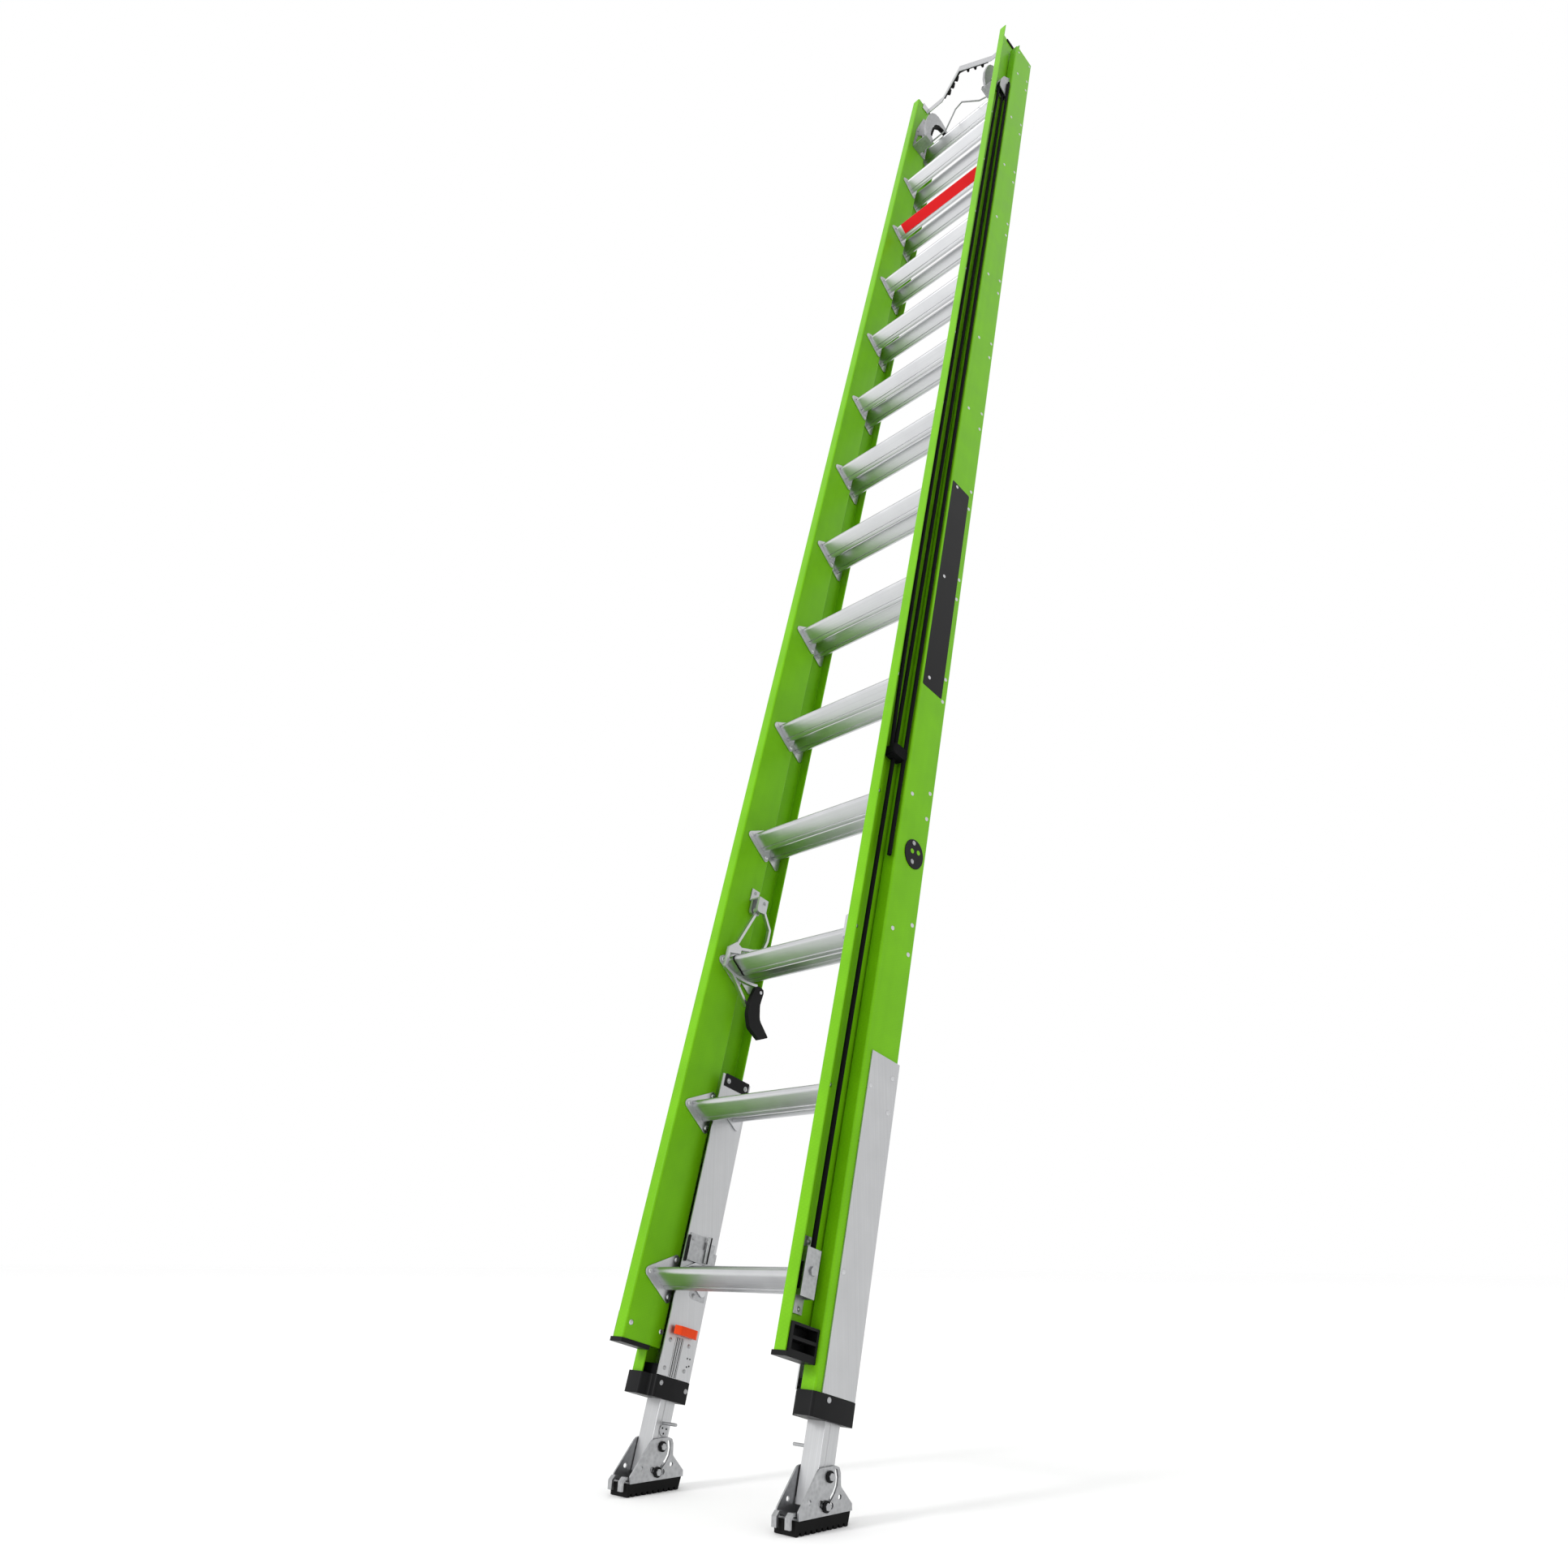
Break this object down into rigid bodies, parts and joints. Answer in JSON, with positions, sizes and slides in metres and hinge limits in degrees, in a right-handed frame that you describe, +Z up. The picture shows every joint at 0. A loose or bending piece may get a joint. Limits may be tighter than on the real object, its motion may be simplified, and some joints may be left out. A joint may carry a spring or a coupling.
{
  "type": "extension ladder",
  "caption": "Two-section fibreglass extension ladder with a sliding fly, rung locks, hoist rope and pulley, a pole bar and cable hooks at the top, and sliding levelling legs on swivel feet.",
  "frame": {"origin": "Centre of the bounding box in plan, on the ground under the feet", "axes": "+Z is up, +X is to the climber's right and +Y is away from the climber, towards the wall that the ladder leans on"},
  "size_m": [0.4506, 1.2184, 4.4247],
  "materials": {
    "fibreglass": "pultruded green fibreglass with a faint woven veil under a satin resin face",
    "aluminium": "extruded mill finish with fine lengthwise lines",
    "steel": "zinc plated pressings",
    "plastic": "moulded black, slightly satin",
    "rubber": "matt black tread rubber",
    "release": "moulded orange-red",
    "rope": "black braided rope"
  },
  "bodies": {
    "base": {"base_rung_01": "aluminium", "base_rung_02": "aluminium", "base_rung_03": "aluminium", "base_rung_04": "aluminium", "base_rung_05": "aluminium", "base_rung_06": "aluminium", "base_rung_07": "aluminium", "base_rung_08": "aluminium", "base_rung_09": "aluminium", "base_rung_10": "aluminium", "base_rung_11": "aluminium", "base_rung_12": "aluminium", "base_rung_13": "aluminium", "base_rung_14": "aluminium", "pulley_block": "steel", "hoist_rope": "rope", "base_rail_left": "fibreglass", "leveler_sleeve_left": "aluminium", "rail_collar_left": "plastic", "base_rail_right": "fibreglass", "leveler_sleeve_right": "aluminium", "rail_collar_right": "plastic"},
    "fly": {"fly_rung_01": "aluminium", "fly_rung_02": "aluminium", "fly_rung_03": "aluminium", "fly_rung_04": "aluminium", "fly_rung_05": "aluminium", "fly_rung_06": "aluminium", "fly_rung_07": "aluminium", "fly_rung_08": "aluminium", "fly_rung_09": "aluminium", "fly_rung_10": "aluminium", "fly_rung_11": "aluminium", "fly_rung_12": "aluminium", "fly_rung_13": "aluminium", "pole_bar": "aluminium", "pole_pad": "rubber", "rope_anchor": "steel", "hook_frame": "steel", "fly_rail_left": "fibreglass", "fly_cap_left": "plastic", "lock_bracket_left": "aluminium", "fly_rail_right": "fibreglass", "fly_cap_right": "plastic", "lock_bracket_right": "aluminium"},
    "lock_left": {"rung_lock_left": "aluminium"},
    "finger_left": {"lock_finger_left": "plastic"},
    "leg_left": {"leveler_leg_left": "aluminium"},
    "foot_left": {"foot_shoe_left": "steel", "foot_pad_left": "rubber"},
    "button_left": {"release_button_left": "release"},
    "hook_left": {"cable_hook_left": "steel"},
    "lock_right": {"rung_lock_right": "aluminium"},
    "finger_right": {"lock_finger_right": "plastic"},
    "leg_right": {"leveler_leg_right": "aluminium"},
    "foot_right": {"foot_shoe_right": "steel", "foot_pad_right": "rubber"},
    "button_right": {"release_button_right": "release"},
    "hook_right": {"cable_hook_right": "steel"},
    "sheave": {"pulley_sheave": "plastic"}
  },
  "joints": [
    {"name": "fly_slide", "type": "slide", "parent": "base", "child": "fly", "axis": [0, 0.2504, 0.9681], "range_m": [0, 3.6576], "deforming": ["hoist_rope"]},
    {"name": "lock_left_swing", "type": "hinge", "parent": "fly", "child": "lock_left", "pos_m": [-0.165, -0.32056, 1.04709], "axis": [1, 0, 0], "range_deg": [-18, 0]},
    {"name": "finger_left_swing", "type": "hinge", "parent": "lock_left", "child": "finger_left", "pos_m": [-0.155, -0.32128, 0.86734], "axis": [1, 0, 0], "range_deg": [0, 35]},
    {"name": "leg_left_slide", "type": "slide", "parent": "base", "child": "leg_left", "axis": [0, -0.2504, -0.9681], "range_m": [0, 0.216]},
    {"name": "foot_left_swivel", "type": "hinge", "parent": "leg_left", "child": "foot_left", "pos_m": [-0.193, -0.51815, 0.0665], "axis": [1, 0, 0], "range_deg": [-18, 18]},
    {"name": "button_left_press", "type": "slide", "parent": "base", "child": "button_left", "axis": [-1, 0, 0], "range_m": [0, 0.004], "stiffness_N_per_m": 800},
    {"name": "hook_left_fold", "type": "hinge", "parent": "fly", "child": "hook_left", "pos_m": [-0.13, 0.44016, 4.12155], "axis": [1, 0, 0], "range_deg": [0, 75]},
    {"name": "lock_right_swing", "type": "hinge", "parent": "fly", "child": "lock_right", "pos_m": [0.165, -0.32056, 1.04709], "axis": [1, 0, 0], "range_deg": [-18, 0]},
    {"name": "finger_right_swing", "type": "hinge", "parent": "lock_right", "child": "finger_right", "pos_m": [0.155, -0.32128, 0.86734], "axis": [1, 0, 0], "range_deg": [0, 35]},
    {"name": "leg_right_slide", "type": "slide", "parent": "base", "child": "leg_right", "axis": [0, -0.2504, -0.9681], "range_m": [0, 0.216]},
    {"name": "foot_right_swivel", "type": "hinge", "parent": "leg_right", "child": "foot_right", "pos_m": [0.193, -0.51815, 0.0665], "axis": [1, 0, 0], "range_deg": [-18, 18]},
    {"name": "button_right_press", "type": "slide", "parent": "base", "child": "button_right", "axis": [1, 0, 0], "range_m": [0, 0.004], "stiffness_N_per_m": 800},
    {"name": "hook_right_fold", "type": "hinge", "parent": "fly", "child": "hook_right", "pos_m": [0.13, 0.44016, 4.12155], "axis": [1, 0, 0], "range_deg": [0, 75]},
    {"name": "sheave_spin", "type": "hinge", "parent": "base", "child": "sheave", "pos_m": [0.1994, 0.41816, 4.04047], "axis": [1, 0, 0], "continuous": true}
  ]
}
